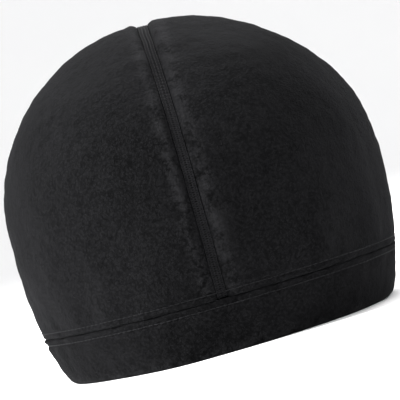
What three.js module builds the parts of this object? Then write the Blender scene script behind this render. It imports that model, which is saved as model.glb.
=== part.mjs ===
// Winter cap: a close skull cap of stretch fleece, standing on its rim as if it were filled out.
// Four gores meet in flat seams that cross at the crown, above a doubled hem band.
// Lengths are millimetres and +Z is up. The front faces -Y, and left is -X, as seen from the front.
// The origin is on the plane that the rim rests on, in the middle of the fullest section's box.

import * as THREE from 'three';

// Form of the whole cap
const CAP_WIDTH = 190; // side to side at the fullest level
const CAP_DEPTH = 212; // front to back at the fullest level
const CAP_HEIGHT = 163.5; // from the rim to the highest points of the gores
const FULLEST_RISE = 79; // height of the fullest level
const RIM_WIDTH = 166; // side to side at the rim
const RIM_DEPTH = 190; // front to back at the rim
const DOME_POWER = 1.89; // roundness of the crown: 2 is an ellipse
const TAPER_POWER = 2.9; // how late the wall draws in below the fullest level
const BACK_BREADTH = 0.05; // share by which the back of the plan is broader and the front narrower
const CROWN_LEAN = 3.8; // sideways settling of the crown, towards -X
const LEAN_POWER = 2.4; // how late the crown begins to lean
const RIM_LEAN = 0.8; // sideways settling of the rim, towards -X

// Cloth, seams and hem
const FLEECE_WALL = 2.5; // thickness of one ply of fleece
const GORE_PUFF = 1.5; // how far the middle of a gore swells past the dome
const SEAM_WIDTH = 6; // flat strip of a seam
const SEAM_WALL = 1.8; // thickness of the pressed seam
const SEAM_SINK = 1.6; // how deep a seam lies below the gores
const LIP_REACH = 2.4; // width over which a gore rolls down to a seam
const HEM_HEIGHT = 25; // height of the hem band
const HEM_WALL = 5; // two plies of fleece, one folded behind the other
const HEM_FOLD = 2; // radius of the fold at the rim
const HEM_GROOVE = 0.8; // depth of the stitched joint above the hem
const PIECE_GAP = 0.3; // clearance between neighbouring pieces

// Fineness of the facets
const WALL_STEPS = 5; // rows from the hem to the fullest level
const DOME_STEPS = 12; // rows from the fullest level to the crown
const CROWN_STEPS = 3; // further rows in the last step before the crown's middle
const GORE_STEPS = 14; // columns from seam to seam
const LIP_STEPS = 3; // of these, columns in each rolled lip
const SEAM_STEPS = 2; // columns across a seam
const FOLD_STEPS = 4; // facets in each quarter of the hem's fold
const HEM_STEPS = 4; // rows up the hem's outer and inner face

const RIGHT_ANGLE = Math.PI / 2;
const DOME_RISE = CAP_HEIGHT - FULLEST_RISE;
const HEM_TOP = HEM_HEIGHT + PIECE_GAP;
const SEAM_EDGE = SEAM_WIDTH / 2; // half a seam's strip
const GORE_EDGE = SEAM_EDGE + PIECE_GAP; // where a gore starts, from the middle of a seam

// Quarters of the cap, with the sides of X and Y that they lie on
const QUARTERS = [
  { name: 'back_right', sideX: 1, sideY: 1 },
  { name: 'back_left', sideX: -1, sideY: 1 },
  { name: 'front_left', sideX: -1, sideY: -1 },
  { name: 'front_right', sideX: 1, sideY: -1 },
];

const fleece = new THREE.MeshStandardMaterial({ color: 0x0d0d0f, roughness: 0.95, metalness: 0 });
const hemFleece = new THREE.MeshStandardMaterial({ color: 0x0b0b0d, roughness: 0.92, metalness: 0 });
const seamThread = new THREE.MeshStandardMaterial({ color: 0x08080a, roughness: 0.8, metalness: 0 });

// Evenly spaced numbers from one end to the other, both included
function evenly(start, end, steps) {
  return Array.from({ length: steps + 1 }, (_, step) => start + ((end - start) * step) / steps);
}

// Share by which the wall has drawn in at a height: 0 from the fullest level up, and 1 at the rim
function drawnIn(height) {
  return Math.max(0, 1 - height / FULLEST_RISE) ** TAPER_POWER;
}

// Section of the wall at a height below the fullest level
function wallSection(height) {
  return {
    halfWidth: (CAP_WIDTH - (CAP_WIDTH - RIM_WIDTH) * drawnIn(height)) / 2,
    halfDepth: (CAP_DEPTH - (CAP_DEPTH - RIM_DEPTH) * drawnIn(height)) / 2,
    base: height,
    spread: 1,
    rise: 0,
  };
}

// Section of the dome at an angle of elevation above the fullest level
function domeSection(elevation) {
  const atCrown = elevation >= RIGHT_ANGLE;
  return {
    halfWidth: CAP_WIDTH / 2,
    halfDepth: CAP_DEPTH / 2,
    base: FULLEST_RISE,
    spread: atCrown ? 0 : Math.cos(elevation) ** (2 / DOME_POWER),
    rise: Math.sin(elevation) ** (2 / DOME_POWER),
  };
}

// Sections from the hem up to the crown, closer where a gore rolls over to the hem or the crown
function gatherSections() {
  const lipHeights = evenly(HEM_TOP, HEM_TOP + LIP_REACH, LIP_STEPS).slice(0, LIP_STEPS);
  const wallHeights = evenly(HEM_TOP + LIP_REACH, FULLEST_RISE, WALL_STEPS).slice(0, WALL_STEPS);
  const elevations = evenly(0, RIGHT_ANGLE, DOME_STEPS);
  const lastStep = elevations[DOME_STEPS - 1];
  const crownAngles = evenly(lastStep, RIGHT_ANGLE, CROWN_STEPS + 1).slice(1);
  return [
    ...[...lipHeights, ...wallHeights].map(wallSection),
    ...[...elevations.slice(0, DOME_STEPS), ...crownAngles].map(domeSection),
  ];
}

// A point of the cap's round plan, broadened to the back, and leaning as the crown and rim do
function settled(x, y, z) {
  const breadth = 1 + (BACK_BREADTH * y) / (CAP_DEPTH / 2);
  const domeShare = Math.max(0, (z - FULLEST_RISE) / DOME_RISE);
  const lean = CROWN_LEAN * domeShare ** LEAN_POWER + RIM_LEAN * drawnIn(z);
  return new THREE.Vector3(x * breadth - lean, y, z);
}

// Height of a section, seen at a depth below the cap's outer surface
function levelOf(section, inset) {
  return section.base + (DOME_RISE - inset) * section.rise;
}

// Distances of a quarter's point from the middles of the two seams that bound the quarter
function quarterOffsets(section, angle, inset) {
  return {
    x: GORE_EDGE + (section.halfWidth - GORE_EDGE - inset) * section.spread * Math.cos(angle),
    y: GORE_EDGE + (section.halfDepth - GORE_EDGE - inset) * section.spread * Math.sin(angle),
  };
}

// A point of one quarter of the cap
function quarterPoint(quarter, section, angle, inset) {
  const offset = quarterOffsets(section, angle, inset);
  return settled(quarter.sideX * offset.x, quarter.sideY * offset.y, levelOf(section, inset));
}

// Angles of a gore's columns: narrow columns in the lips, even ones between
function columnAngles(section) {
  const evenAngles = evenly(0, RIGHT_ANGLE, GORE_STEPS);
  const lipAngle = (column, radius) => {
    const distance = (LIP_REACH * column) / LIP_STEPS;
    const rolled = Math.asin(Math.min(1, distance / Math.max(radius, distance, PIECE_GAP)));
    return Math.min(rolled, evenAngles[column]);
  };
  const radiusX = (section.halfWidth - GORE_EDGE) * section.spread;
  const radiusY = (section.halfDepth - GORE_EDGE) * section.spread;
  const lips = Array.from({ length: LIP_STEPS }, (_, column) => column);
  const first = lips.map((column) => lipAngle(column, radiusY));
  const last = lips.map((column) => RIGHT_ANGLE - lipAngle(column, radiusX)).reverse();
  const start = lipAngle(LIP_STEPS, radiusY);
  const end = RIGHT_ANGLE - lipAngle(LIP_STEPS, radiusX);
  return [...first, ...evenly(start, end, GORE_STEPS - 2 * LIP_STEPS), ...last];
}

// Share of a lip's full depth at a distance from its edge
function lipShare(distance) {
  return Math.max(0, 1 - distance / LIP_REACH) ** 2;
}

// Depth of a gore's outer surface at a point, from its lips and its swelling
function goreDepth(section, angle) {
  const offset = quarterOffsets(section, angle, 0);
  const seamDistance = Math.min(offset.x, offset.y) - GORE_EDGE;
  const height = levelOf(section, 0);
  const sunk = Math.max(SEAM_SINK * lipShare(seamDistance), HEM_GROOVE * lipShare(height - HEM_TOP));
  const upGore = (height - HEM_TOP) / (CAP_HEIGHT - HEM_TOP);
  const swelling = GORE_PUFF * Math.sin(2 * angle) * Math.sin(Math.PI * upGore);
  return { sunk, swelling };
}

// Adds the two triangles of a four-sided face, without those that a shared corner leaves empty
function addFace(corners, flipped, positions) {
  const [a, b, c, d] = flipped ? [...corners].reverse() : corners;
  for (const triangle of [[a, b, c], [a, c, d]]) {
    const [p, q, r] = triangle;
    const empty = p.equals(q) || q.equals(r) || r.equals(p);
    if (!empty) {
      triangle.forEach((point) => positions.push(point.x, point.y, point.z));
    }
  }
}

// Makes a geometry from a flat list of triangle corners
function geometryFrom(positions) {
  const geometry = new THREE.BufferGeometry();
  geometry.setAttribute('position', new THREE.Float32BufferAttribute(positions, 3));
  geometry.computeVertexNormals();
  return geometry;
}

// Closed piece of cloth between an outer and an inner grid of points, rows upwards
function clothPatch(outer, inner, flipped) {
  const positions = [];
  const rows = outer.length - 1;
  const columns = outer[0].length - 1;
  for (let row = 0; row < rows; row += 1) {
    for (let column = 0; column < columns; column += 1) {
      const corners = (grid) => [
        grid[row][column],
        grid[row][column + 1],
        grid[row + 1][column + 1],
        grid[row + 1][column],
      ];
      addFace(corners(outer), flipped, positions);
      addFace(corners(inner).reverse(), flipped, positions);
    }
  }
  const addEdge = (rowA, columnA, rowB, columnB) => {
    const corners = [
      outer[rowB][columnB],
      outer[rowA][columnA],
      inner[rowA][columnA],
      inner[rowB][columnB],
    ];
    addFace(corners, flipped, positions);
  };
  for (let column = 0; column < columns; column += 1) {
    addEdge(0, column, 0, column + 1);
    addEdge(rows, column + 1, rows, column);
  }
  for (let row = 0; row < rows; row += 1) {
    addEdge(row, columns, row + 1, columns);
    addEdge(row + 1, 0, row, 0);
  }
  return geometryFrom(positions);
}

// One gore, a quarter of the cap between two seams, from the hem to the crown
function makeGore(quarter, sections) {
  const gridAt = (depthOf) => sections.map((section) =>
    columnAngles(section).map((angle) => {
      const { sunk, swelling } = goreDepth(section, angle);
      return quarterPoint(quarter, section, angle, depthOf(sunk) - swelling);
    }));
  const outer = gridAt((sunk) => sunk);
  const inner = gridAt((sunk) => Math.max(FLEECE_WALL, sunk + SEAM_WALL));
  return clothPatch(outer, inner, quarter.sideX !== quarter.sideY);
}

// The seam from the front of the hem over the crown to the back of the hem
function makeCrownSeam(sections) {
  const across = evenly(SEAM_EDGE, -SEAM_EDGE, SEAM_STEPS);
  const back = sections.map((section) => ({ section, sideY: 1 }));
  const front = sections.map((section) => ({ section, sideY: -1 })).reverse();
  const gridAt = (inset) => [...back, ...front].map(({ section, sideY }) => {
    const { y } = quarterOffsets(section, RIGHT_ANGLE, inset);
    return across.map((x) => settled(x, sideY * y, levelOf(section, inset)));
  });
  return clothPatch(gridAt(SEAM_SINK), gridAt(SEAM_SINK + SEAM_WALL), false);
}

// A side seam, from the hem up to the edge of the crown seam
function makeSideSeam(sideX, sections) {
  const across = evenly(-SEAM_EDGE, SEAM_EDGE, SEAM_STEPS);
  const gridAt = (inset) => sections.map((section) => {
    const { x } = quarterOffsets(section, 0, inset);
    return across.map((y) => settled(sideX * x, y, levelOf(section, inset)));
  });
  return clothPatch(gridAt(SEAM_SINK), gridAt(SEAM_SINK + SEAM_WALL), sideX < 0);
}

// Outline of the hem band's cut end: depth from the outer surface, and height above the rim
function hemOutline() {
  const lipHeights = evenly(HEM_HEIGHT - LIP_REACH, HEM_HEIGHT, LIP_STEPS);
  const outside = evenly(HEM_FOLD, HEM_HEIGHT - LIP_REACH, HEM_STEPS).slice(0, HEM_STEPS);
  const inside = evenly(HEM_HEIGHT, HEM_FOLD, HEM_STEPS).slice(0, HEM_STEPS);
  const foldPoint = (centreDepth, turn) => ({
    depth: centreDepth + HEM_FOLD * Math.sin(turn),
    height: HEM_FOLD - HEM_FOLD * Math.cos(turn),
  });
  const innerFold = evenly(RIGHT_ANGLE, 0, FOLD_STEPS);
  const outerFold = evenly(0, -RIGHT_ANGLE, FOLD_STEPS).slice(0, FOLD_STEPS);
  return [
    ...outside.map((height) => ({ depth: 0, height })),
    ...lipHeights.map((height) => ({ depth: HEM_GROOVE * lipShare(HEM_HEIGHT - height), height })),
    ...inside.map((height) => ({ depth: HEM_WALL, height })),
    ...innerFold.map((turn) => foldPoint(HEM_WALL - HEM_FOLD, turn)),
    ...outerFold.map((turn) => foldPoint(HEM_FOLD, turn)),
  ];
}

// The doubled band round the lower edge, with a rounded fold that is flat where it rests
function makeHemBand() {
  const outline = hemOutline();
  const cutEnds = QUARTERS.flatMap((quarter) => {
    const angles = evenly(0, RIGHT_ANGLE, GORE_STEPS);
    const turned = quarter.sideX === quarter.sideY ? angles : [...angles].reverse();
    return turned.map((angle) => outline.map(({ depth, height }) =>
      quarterPoint(quarter, wallSection(height), angle, depth)));
  });
  const positions = [];
  cutEnds.forEach((cutEnd, index) => {
    const nextEnd = cutEnds[(index + 1) % cutEnds.length];
    cutEnd.forEach((point, place) => {
      const nextPlace = (place + 1) % cutEnd.length;
      addFace([point, nextEnd[place], nextEnd[nextPlace], cutEnd[nextPlace]], false, positions);
    });
  });
  return geometryFrom(positions);
}

// Names a piece and gives it its cloth
function asMesh(name, geometry, material) {
  const mesh = new THREE.Mesh(geometry, material.clone());
  mesh.name = name;
  return mesh;
}

// Puts the pieces together
function makeCap() {
  const sections = gatherSections();
  const cap = new THREE.Group();
  cap.name = 'winter_cap';
  QUARTERS.forEach((quarter) => {
    cap.add(asMesh(`gore_${quarter.name}`, makeGore(quarter, sections), fleece));
  });
  cap.add(asMesh('crown_seam', makeCrownSeam(sections), seamThread));
  cap.add(asMesh('side_seam_left', makeSideSeam(-1, sections), seamThread));
  cap.add(asMesh('side_seam_right', makeSideSeam(1, sections), seamThread));
  cap.add(asMesh('hem_band', makeHemBand(), hemFleece));
  return cap;
}

export default makeCap();
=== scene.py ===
"""The winter cap as it looks: black fleece gores, flat stitched seams and a doubled hem band.

Every piece starts as a flat pattern and is then laid over the cap's form. A pattern's X and Y are
shares of the piece, or metres along and across a seam, and its Z is the place in the cloth's
thickness. Lengths are metres, +Z is up, the front faces -Y, and left is -X as seen from the front.
"""

from __future__ import annotations

import logging
import math
from contextlib import contextmanager
from dataclasses import dataclass
from enum import Enum
from typing import Callable, Iterator

import bpy
import numpy as np
from mathutils import Matrix, Vector, noise


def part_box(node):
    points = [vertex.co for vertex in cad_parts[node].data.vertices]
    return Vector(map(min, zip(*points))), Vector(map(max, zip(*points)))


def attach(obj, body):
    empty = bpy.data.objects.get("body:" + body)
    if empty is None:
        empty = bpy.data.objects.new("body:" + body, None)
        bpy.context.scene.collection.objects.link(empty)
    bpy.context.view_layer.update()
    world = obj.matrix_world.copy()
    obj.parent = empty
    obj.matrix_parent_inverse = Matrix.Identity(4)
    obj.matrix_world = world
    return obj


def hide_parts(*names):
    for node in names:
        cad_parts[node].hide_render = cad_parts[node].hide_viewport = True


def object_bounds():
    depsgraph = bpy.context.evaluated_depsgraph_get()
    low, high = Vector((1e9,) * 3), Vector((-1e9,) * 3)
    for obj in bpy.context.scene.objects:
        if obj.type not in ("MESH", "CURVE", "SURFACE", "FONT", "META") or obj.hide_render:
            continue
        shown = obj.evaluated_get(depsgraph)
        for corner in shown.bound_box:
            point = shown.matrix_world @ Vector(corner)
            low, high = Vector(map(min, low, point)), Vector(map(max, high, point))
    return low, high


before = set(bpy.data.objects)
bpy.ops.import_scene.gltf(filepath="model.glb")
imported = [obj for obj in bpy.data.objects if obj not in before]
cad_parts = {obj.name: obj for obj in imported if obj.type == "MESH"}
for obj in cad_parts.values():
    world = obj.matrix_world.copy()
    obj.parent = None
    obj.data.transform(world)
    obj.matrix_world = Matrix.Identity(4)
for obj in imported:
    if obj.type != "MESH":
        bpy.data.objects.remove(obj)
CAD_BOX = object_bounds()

LOG = logging.getLogger("winter_cap")
MILLIMETRE = 0.001
RIGHT_ANGLE = math.pi / 2
PointMap = Callable[[np.ndarray], np.ndarray]


class Side(Enum):
    """The two sides of the cap, with the sign of X there."""

    LEFT = -1
    RIGHT = 1


class Facing(Enum):
    """The front and the back of the cap, with the sign of Y there."""

    FRONT = -1
    BACK = 1


class Face(Enum):
    """The two faces of the cloth, with the sign by which depth changes on the way off them."""

    OUTSIDE = -1
    INSIDE = 1


class Row(Enum):
    """The two rows of topstitching, with the sign of their height from the hem's joint."""

    UPPER = 1
    LOWER = -1


@dataclass(frozen=True)
class Section:
    """Level sections of the cap's outer surface, one array entry for each point.

    The first two are half the width and half the depth, base is the height that the section starts
    from, spread is the share of the width that is left, and rise the share of the dome climbed.
    """

    half_width: np.ndarray
    half_depth: np.ndarray
    base: np.ndarray
    spread: np.ndarray
    rise: np.ndarray


@dataclass(frozen=True)
class CapForm:
    """The smooth form that the cloth is laid over, with the sizes of the solids it stands for."""

    depth: float
    hem_height: float
    seam_width: float
    gap: float
    width: float = 190 * MILLIMETRE
    height: float = 163.5 * MILLIMETRE
    fullest_rise: float = 79 * MILLIMETRE
    rim_width: float = 166 * MILLIMETRE
    rim_depth: float = 190 * MILLIMETRE
    dome_power: float = 1.89
    taper_power: float = 2.9
    back_breadth: float = 0.05
    crown_lean: float = 3.8 * MILLIMETRE
    lean_power: float = 2.4
    rim_lean: float = 0.8 * MILLIMETRE
    fleece_wall: float = 2.5 * MILLIMETRE
    gore_puff: float = 1.5 * MILLIMETRE
    seam_wall: float = 1.8 * MILLIMETRE
    seam_sink: float = 1.6 * MILLIMETRE
    lip_reach: float = 3.6 * MILLIMETRE
    overhang: float = 0.5 * MILLIMETRE
    overhang_reach: float = 3 * MILLIMETRE
    hem_groove: float = 0.35 * MILLIMETRE
    crack_depth: float = 0.8 * MILLIMETRE
    crack_reach: float = 0.7 * MILLIMETRE
    seam_drift: float = 1.35 * MILLIMETRE
    drift_reach: float = 14 * MILLIMETRE
    wall_share: float = 0.27

    @classmethod
    def from_frame(cls) -> CapForm:
        """Reads the sizes that the frame states directly.

        Returns:
            The form, in the frame's own place.
        """
        low, high = CAD_BOX
        hem_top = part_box("hem_band")[1].z
        seam_low, seam_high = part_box("side_seam_right")
        gore_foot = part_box("gore_back_right")[0].z
        return cls(
            depth=high.y - low.y,
            hem_height=hem_top,
            seam_width=seam_high.y - seam_low.y,
            gap=gore_foot - hem_top,
        )

    @property
    def gore_edge(self) -> float:
        """Distance from the middle of a seam to the edge of a gore."""
        return self.seam_width / 2 + self.gap

    @property
    def joint(self) -> float:
        """Height of the joint at which the gores and the hem band meet."""
        return self.hem_height + self.gap / 2

    @property
    def dome_rise(self) -> float:
        """Height of the dome above the fullest level."""
        return self.height - self.fullest_rise

    def drawn_in(self, height: np.ndarray) -> np.ndarray:
        """Share by which the wall has drawn in: 0 from the fullest level up, and 1 at the rim."""
        return np.clip(1 - height / self.fullest_rise, 0, None) ** self.taper_power

    def wall(self, height: np.ndarray) -> Section:
        """Sections of the wall below the fullest level.

        Args:
            height: heights above the rim.
        Returns:
            One section for each height.
        """
        drawn = self.drawn_in(height)
        even = np.ones_like(height)
        return Section(
            half_width=(self.width - (self.width - self.rim_width) * drawn) / 2,
            half_depth=(self.depth - (self.depth - self.rim_depth) * drawn) / 2,
            base=height,
            spread=even,
            rise=0 * even,
        )

    def climbed(self, climb: np.ndarray) -> Section:
        """Sections from the hem to the crown.

        Args:
            climb: shares of the way up, 0 at the hem and 1 at the crown.
        Returns:
            One section for each share.
        """
        up_wall = np.clip(climb / self.wall_share, 0, 1)
        low = self.wall(self.joint + (self.fullest_rise - self.joint) * up_wall)
        angle = RIGHT_ANGLE * np.clip((climb - self.wall_share) / (1 - self.wall_share), 0, 1)
        return Section(
            half_width=low.half_width,
            half_depth=low.half_depth,
            base=low.base,
            spread=np.clip(np.cos(angle), 0, 1) ** (2 / self.dome_power),
            rise=np.sin(angle) ** (2 / self.dome_power),
        )

    def level(self, section: Section, inset: np.ndarray | float) -> np.ndarray:
        """Height of each section, at a depth below the outer surface."""
        return section.base + (self.dome_rise - inset) * section.rise

    def offsets(
        self, section: Section, angle: np.ndarray, inset: np.ndarray | float
    ) -> tuple[np.ndarray, np.ndarray]:
        """Distances of a quarter's points from the middles of its two seams.

        Args:
            section: the sections that the points are on.
            angle: their angles from the side seam, 0 to a right angle.
            inset: their depths below the outer surface.
        Returns:
            The distances from the crown seam's plane and from the side seam's plane.
        """
        edge = self.gore_edge
        across = edge + (section.half_width - edge - inset) * section.spread * np.cos(angle)
        along = edge + (section.half_depth - edge - inset) * section.spread * np.sin(angle)
        return across, along

    def settled(self, x: np.ndarray, y: np.ndarray, z: np.ndarray) -> np.ndarray:
        """Broadens the round plan to the back, and leans the crown and rim to the left.

        The crown seam leans less than the gores beside it, which are pulled a little across it.

        Args:
            x: places from the crown seam's plane.
            y: places from the side seams' plane.
            z: heights above the rim.
        Returns:
            The points, one row each.
        """
        breadth = 1 + self.back_breadth * y / (self.depth / 2)
        dome_share = np.clip((z - self.fullest_rise) / self.dome_rise, 0, None) ** self.lean_power
        held_back = self.seam_drift * np.exp(-((x / self.drift_reach) ** 2))
        lean = (self.crown_lean - held_back) * dome_share + self.rim_lean * self.drawn_in(z)
        return np.stack([x * breadth - lean, y, z], axis=1)

    def lip(self, distance: np.ndarray) -> np.ndarray:
        """Share of a rolled lip's depth at a distance from its edge."""
        return np.clip(1 - np.clip(distance, 0, None) / self.lip_reach, 0, None) ** 2

    def joint_sunk(self, height: np.ndarray) -> np.ndarray:
        """Depth to which the cloth rolls in beside the hem's joint, on either side of it.

        Args:
            height: heights above the rim.
        Returns:
            The depths below the smooth form.
        """
        off = np.abs(height - self.joint)
        crack = np.clip(1 - off / self.crack_reach, 0, 1) ** 2
        return self.hem_groove * self.lip(off) + self.crack_depth * crack

    def sunk(self, across: np.ndarray, along: np.ndarray, height: np.ndarray) -> np.ndarray:
        """Depth to which the lips of the seams and the hem's joint draw a gore's surface down."""
        at_seam = self.lip(np.minimum(across, along) - self.gore_edge)
        return self.seam_sink * at_seam + self.joint_sunk(height)

    def overhung(self, distance: np.ndarray) -> np.ndarray:
        """Distances from a seam's middle, with a gore's lip rolled over the strip's edge."""
        return distance - self.overhang * np.exp(-(distance - self.gore_edge) / self.overhang_reach)

    def ring(self, turn: np.ndarray, height: np.ndarray, inset: np.ndarray) -> np.ndarray:
        """Points round the cap below its fullest level, from what ring_plan takes."""
        x, y = self.ring_plan(turn, height, inset)
        return self.settled(x, y, height)

    def ring_plan(
        self, turn: np.ndarray, height: np.ndarray, inset: np.ndarray
    ) -> tuple[np.ndarray, np.ndarray]:
        """The places in plan of points round the cap, before it settles.

        Args:
            turn: shares of the way round, from the right side seam by the back.
            height: heights above the rim.
            inset: depths below the outer surface.
        Returns:
            The places along X and along Y.
        """
        section = self.wall(height)
        quarter = np.floor(turn * 4)
        within = turn * 4 - quarter
        within = np.where(quarter % 2 > 0, 1 - within, within)
        quarter_length = math.pi * (self.rim_width + self.rim_depth) / 4
        flat = 2 * self.gore_edge / quarter_length
        angle = RIGHT_ANGLE * np.clip((within - flat) / (1 - 2 * flat), 0, 1)
        x, y = self.offsets(section, angle, inset)
        x = np.where(within > 1 - flat, self.gore_edge * (1 - within) / flat, x)
        y = np.where(within < flat, self.gore_edge * within / flat, y)
        sign_x = np.where((quarter % 4 == 1) | (quarter % 4 == 2), -1, 1)
        sign_y = np.where(quarter % 4 >= 2, -1, 1)
        return sign_x * x, sign_y * y


@dataclass(frozen=True)
class Waves:
    """One family of soft waves in the cloth: how high, how long, and how soon they die away."""

    height: float
    length: float
    fade: float = math.inf
    seed: float = 0.0

    def over(self, places: np.ndarray, distance: np.ndarray | float = 0.0) -> np.ndarray:
        """Heights of the waves.

        Args:
            places: points in metres, one row each.
            distance: their distances from what gathers the cloth.
        Returns:
            A height for each point.
        """
        scaled = places / self.length + self.seed
        pattern = np.array([noise.noise(point) for point in scaled.tolist()])
        return self.height * pattern * np.exp(-distance / self.fade)


@dataclass(frozen=True)
class Dent:
    """A broad soft dent, or a swell where its depth is negative, that fades with distance."""

    place: tuple[float, float, float]
    spread: tuple[float, float, float]
    depth: float

    def at(self, points: np.ndarray) -> np.ndarray:
        """Depths of the dent at points on the cap."""
        away = ((points - np.array(self.place)) / np.array(self.spread)) ** 2
        return self.depth * np.exp(-away.sum(axis=1))


# Where the filled-out cloth lies flatter than the smooth form
FLAT_SPOTS = (
    Dent(place=(0.081, 0.0, 0.000), spread=(0.02, 0.04, 0.0035), depth=0.45 * MILLIMETRE),
    Dent(place=(0.092, 0.0, 0.034), spread=(0.02, 0.04, 0.005), depth=0.72 * MILLIMETRE),
    Dent(place=(0.094, 0.0, 0.090), spread=(0.02, 0.04, 0.008), depth=0.45 * MILLIMETRE),
    Dent(place=(0.070, 0.0, 0.134), spread=(0.009, 0.04, 0.008), depth=0.7 * MILLIMETRE),
    Dent(place=(0.056, 0.0, 0.146), spread=(0.010, 0.04, 0.007), depth=0.3 * MILLIMETRE),
    Dent(place=(0.050, 0.0, 0.149), spread=(0.006, 0.04, 0.005), depth=0.42 * MILLIMETRE),
    Dent(place=(0.003, 0.0, 0.163), spread=(0.0035, 0.04, 0.010), depth=0.35 * MILLIMETRE),
    Dent(place=(-0.0105, 0.0, 0.163), spread=(0.003, 0.04, 0.010), depth=0.3 * MILLIMETRE),
    Dent(place=(-0.070, 0.0, 0.137), spread=(0.008, 0.04, 0.008), depth=0.5 * MILLIMETRE),
    Dent(place=(-0.092, 0.0, 0.102), spread=(0.02, 0.04, 0.009), depth=0.38 * MILLIMETRE),
    Dent(place=(-0.095, 0.0, 0.079), spread=(0.02, 0.04, 0.008), depth=0.9 * MILLIMETRE),
    Dent(place=(-0.083, 0.0, 0.000), spread=(0.02, 0.04, 0.0035), depth=0.5 * MILLIMETRE),
    Dent(place=(0.044, -0.083, 0.002), spread=(0.019, 0.03, 0.030), depth=2.4 * MILLIMETRE),
    Dent(place=(-0.060, -0.072, 0.002), spread=(0.014, 0.03, 0.030), depth=1.6 * MILLIMETRE),
)
# Where it swells a little past the smooth form
SOFT_BULGES = (
    Dent(place=(0.086, 0.0, 0.006), spread=(0.02, 0.04, 0.007), depth=-0.55 * MILLIMETRE),
    Dent(place=(0.088, 0.0, 0.110), spread=(0.02, 0.04, 0.008), depth=-0.5 * MILLIMETRE),
    Dent(place=(-0.002, 0.0, 0.163), spread=(0.024, 0.04, 0.010), depth=-0.25 * MILLIMETRE),
    Dent(place=(-0.095, 0.0, 0.0535), spread=(0.02, 0.04, 0.006), depth=-0.35 * MILLIMETRE),
    Dent(place=(-0.093, 0.0, 0.0355), spread=(0.02, 0.04, 0.005), depth=-0.55 * MILLIMETRE),
    Dent(place=(-0.092, 0.0, 0.0260), spread=(0.02, 0.04, 0.005), depth=-0.75 * MILLIMETRE),
    Dent(place=(-0.090, 0.0, 0.010), spread=(0.02, 0.04, 0.0085), depth=-0.9 * MILLIMETRE),
    Dent(place=(-0.026, -0.092, 0.002), spread=(0.022, 0.03, 0.030), depth=-3.0 * MILLIMETRE),
)


@dataclass(frozen=True)
class Drape:
    """How the fleece lies over the form: broad folds, puckers at the seams, gathers and nap.

    The broad folds carry the seams, the stitching and the hem with them. They calm down towards the
    side seams, where the cloth is stretched between the crown and the rim.
    """

    form: CapForm
    fold: Waves = Waves(height=2.2 * MILLIMETRE, length=42 * MILLIMETRE, seed=3)
    calm_share: float = 0.8
    calm_reach: float = 30 * MILLIMETRE
    pucker: Waves = Waves(height=2.1 * MILLIMETRE, length=8.5 * MILLIMETRE, fade=8 * MILLIMETRE)
    gather: Waves = Waves(
        height=1.6 * MILLIMETRE, length=11 * MILLIMETRE, fade=10 * MILLIMETRE, seed=7
    )
    flute: Waves = Waves(
        height=3.4 * MILLIMETRE, length=19 * MILLIMETRE, fade=30 * MILLIMETRE, seed=41
    )
    flute_stretch: float = 6.0
    flute_onset: float = 7 * MILLIMETRE
    clump: Waves = Waves(height=0.34 * MILLIMETRE, length=6.5 * MILLIMETRE, seed=11)
    nap: Waves = Waves(height=0.2 * MILLIMETRE, length=2.3 * MILLIMETRE, seed=23)
    stretch: float = 3.5
    pinned: float = 5 * MILLIMETRE
    topstitch_rise: float = 3.2 * MILLIMETRE
    topstitch_sink: float = 0.4 * MILLIMETRE
    topstitch_reach: float = 1.1 * MILLIMETRE
    dents: tuple[Dent, ...] = FLAT_SPOTS + SOFT_BULGES

    def off_topstitch(self, height: np.ndarray) -> np.ndarray:
        """Distances from the nearer row of topstitching, as shares of its reach."""
        return (np.abs(height - self.form.joint) - self.topstitch_rise) / self.topstitch_reach

    def topstitch_valley(self, height: np.ndarray) -> np.ndarray:
        """Depth of the two valleys that the topstitching pulls beside the hem's joint."""
        return self.topstitch_sink * np.exp(-(self.off_topstitch(height) ** 2))

    def loose(self, height: np.ndarray) -> np.ndarray:
        """Share of freedom the topstitching leaves the cloth: 0 under it and 1 away from it."""
        return 1 - np.exp(-(self.off_topstitch(height) ** 2))

    def broad(self, points: np.ndarray) -> np.ndarray:
        """Heights of the broad folds less the dents, which everything on the cap follows."""
        dented = sum(dent.at(points) for dent in self.dents)
        return self.fold.over(points) * self.calm(points) - dented

    def calm(self, points: np.ndarray) -> np.ndarray:
        """Share of the folds that is left: less towards the side seams."""
        return 1 - self.calm_share * np.exp(-((points[:, 1] / self.calm_reach) ** 2))

    def fine(self, points: np.ndarray) -> np.ndarray:
        """Heights of the nap and of the clumps that it lies in."""
        return self.clump.over(points) + self.nap.over(points)

    def over_gore(
        self,
        points: np.ndarray,
        to_seam: np.ndarray,
        up: np.ndarray,
        round_cap: np.ndarray,
        key: float,
    ) -> np.ndarray:
        """Heights of a gore's cloth above the smooth form.

        Args:
            points: the gore's points on the smooth form.
            to_seam: their distances from the nearer seam.
            up: their distances from the hem's joint.
            round_cap: their distances round the cap.
            key: a number that no other gore has.
        Returns:
            A height for each point.
        """
        keyed = np.full_like(up, key)
        by_seam = np.stack([up, to_seam / self.stretch, keyed], axis=1)
        by_hem = np.stack([round_cap, up / self.stretch, keyed], axis=1)
        held = 1 - np.exp(-to_seam / self.pinned)
        puckers = self.pucker.over(by_seam, to_seam) * np.sqrt(held)
        gathers = self.gather.over(by_hem, up) + self.fine(points)
        along_flutes = np.stack([round_cap, up / self.flute_stretch, keyed], axis=1)
        risen = 1 - np.exp(-up / self.flute_onset)
        flutes = self.flute.over(along_flutes, up) * risen * self.calm(points)
        return self.broad(points) + (puckers + (gathers + flutes) * held) * self.loose(points[:, 2])


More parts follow.
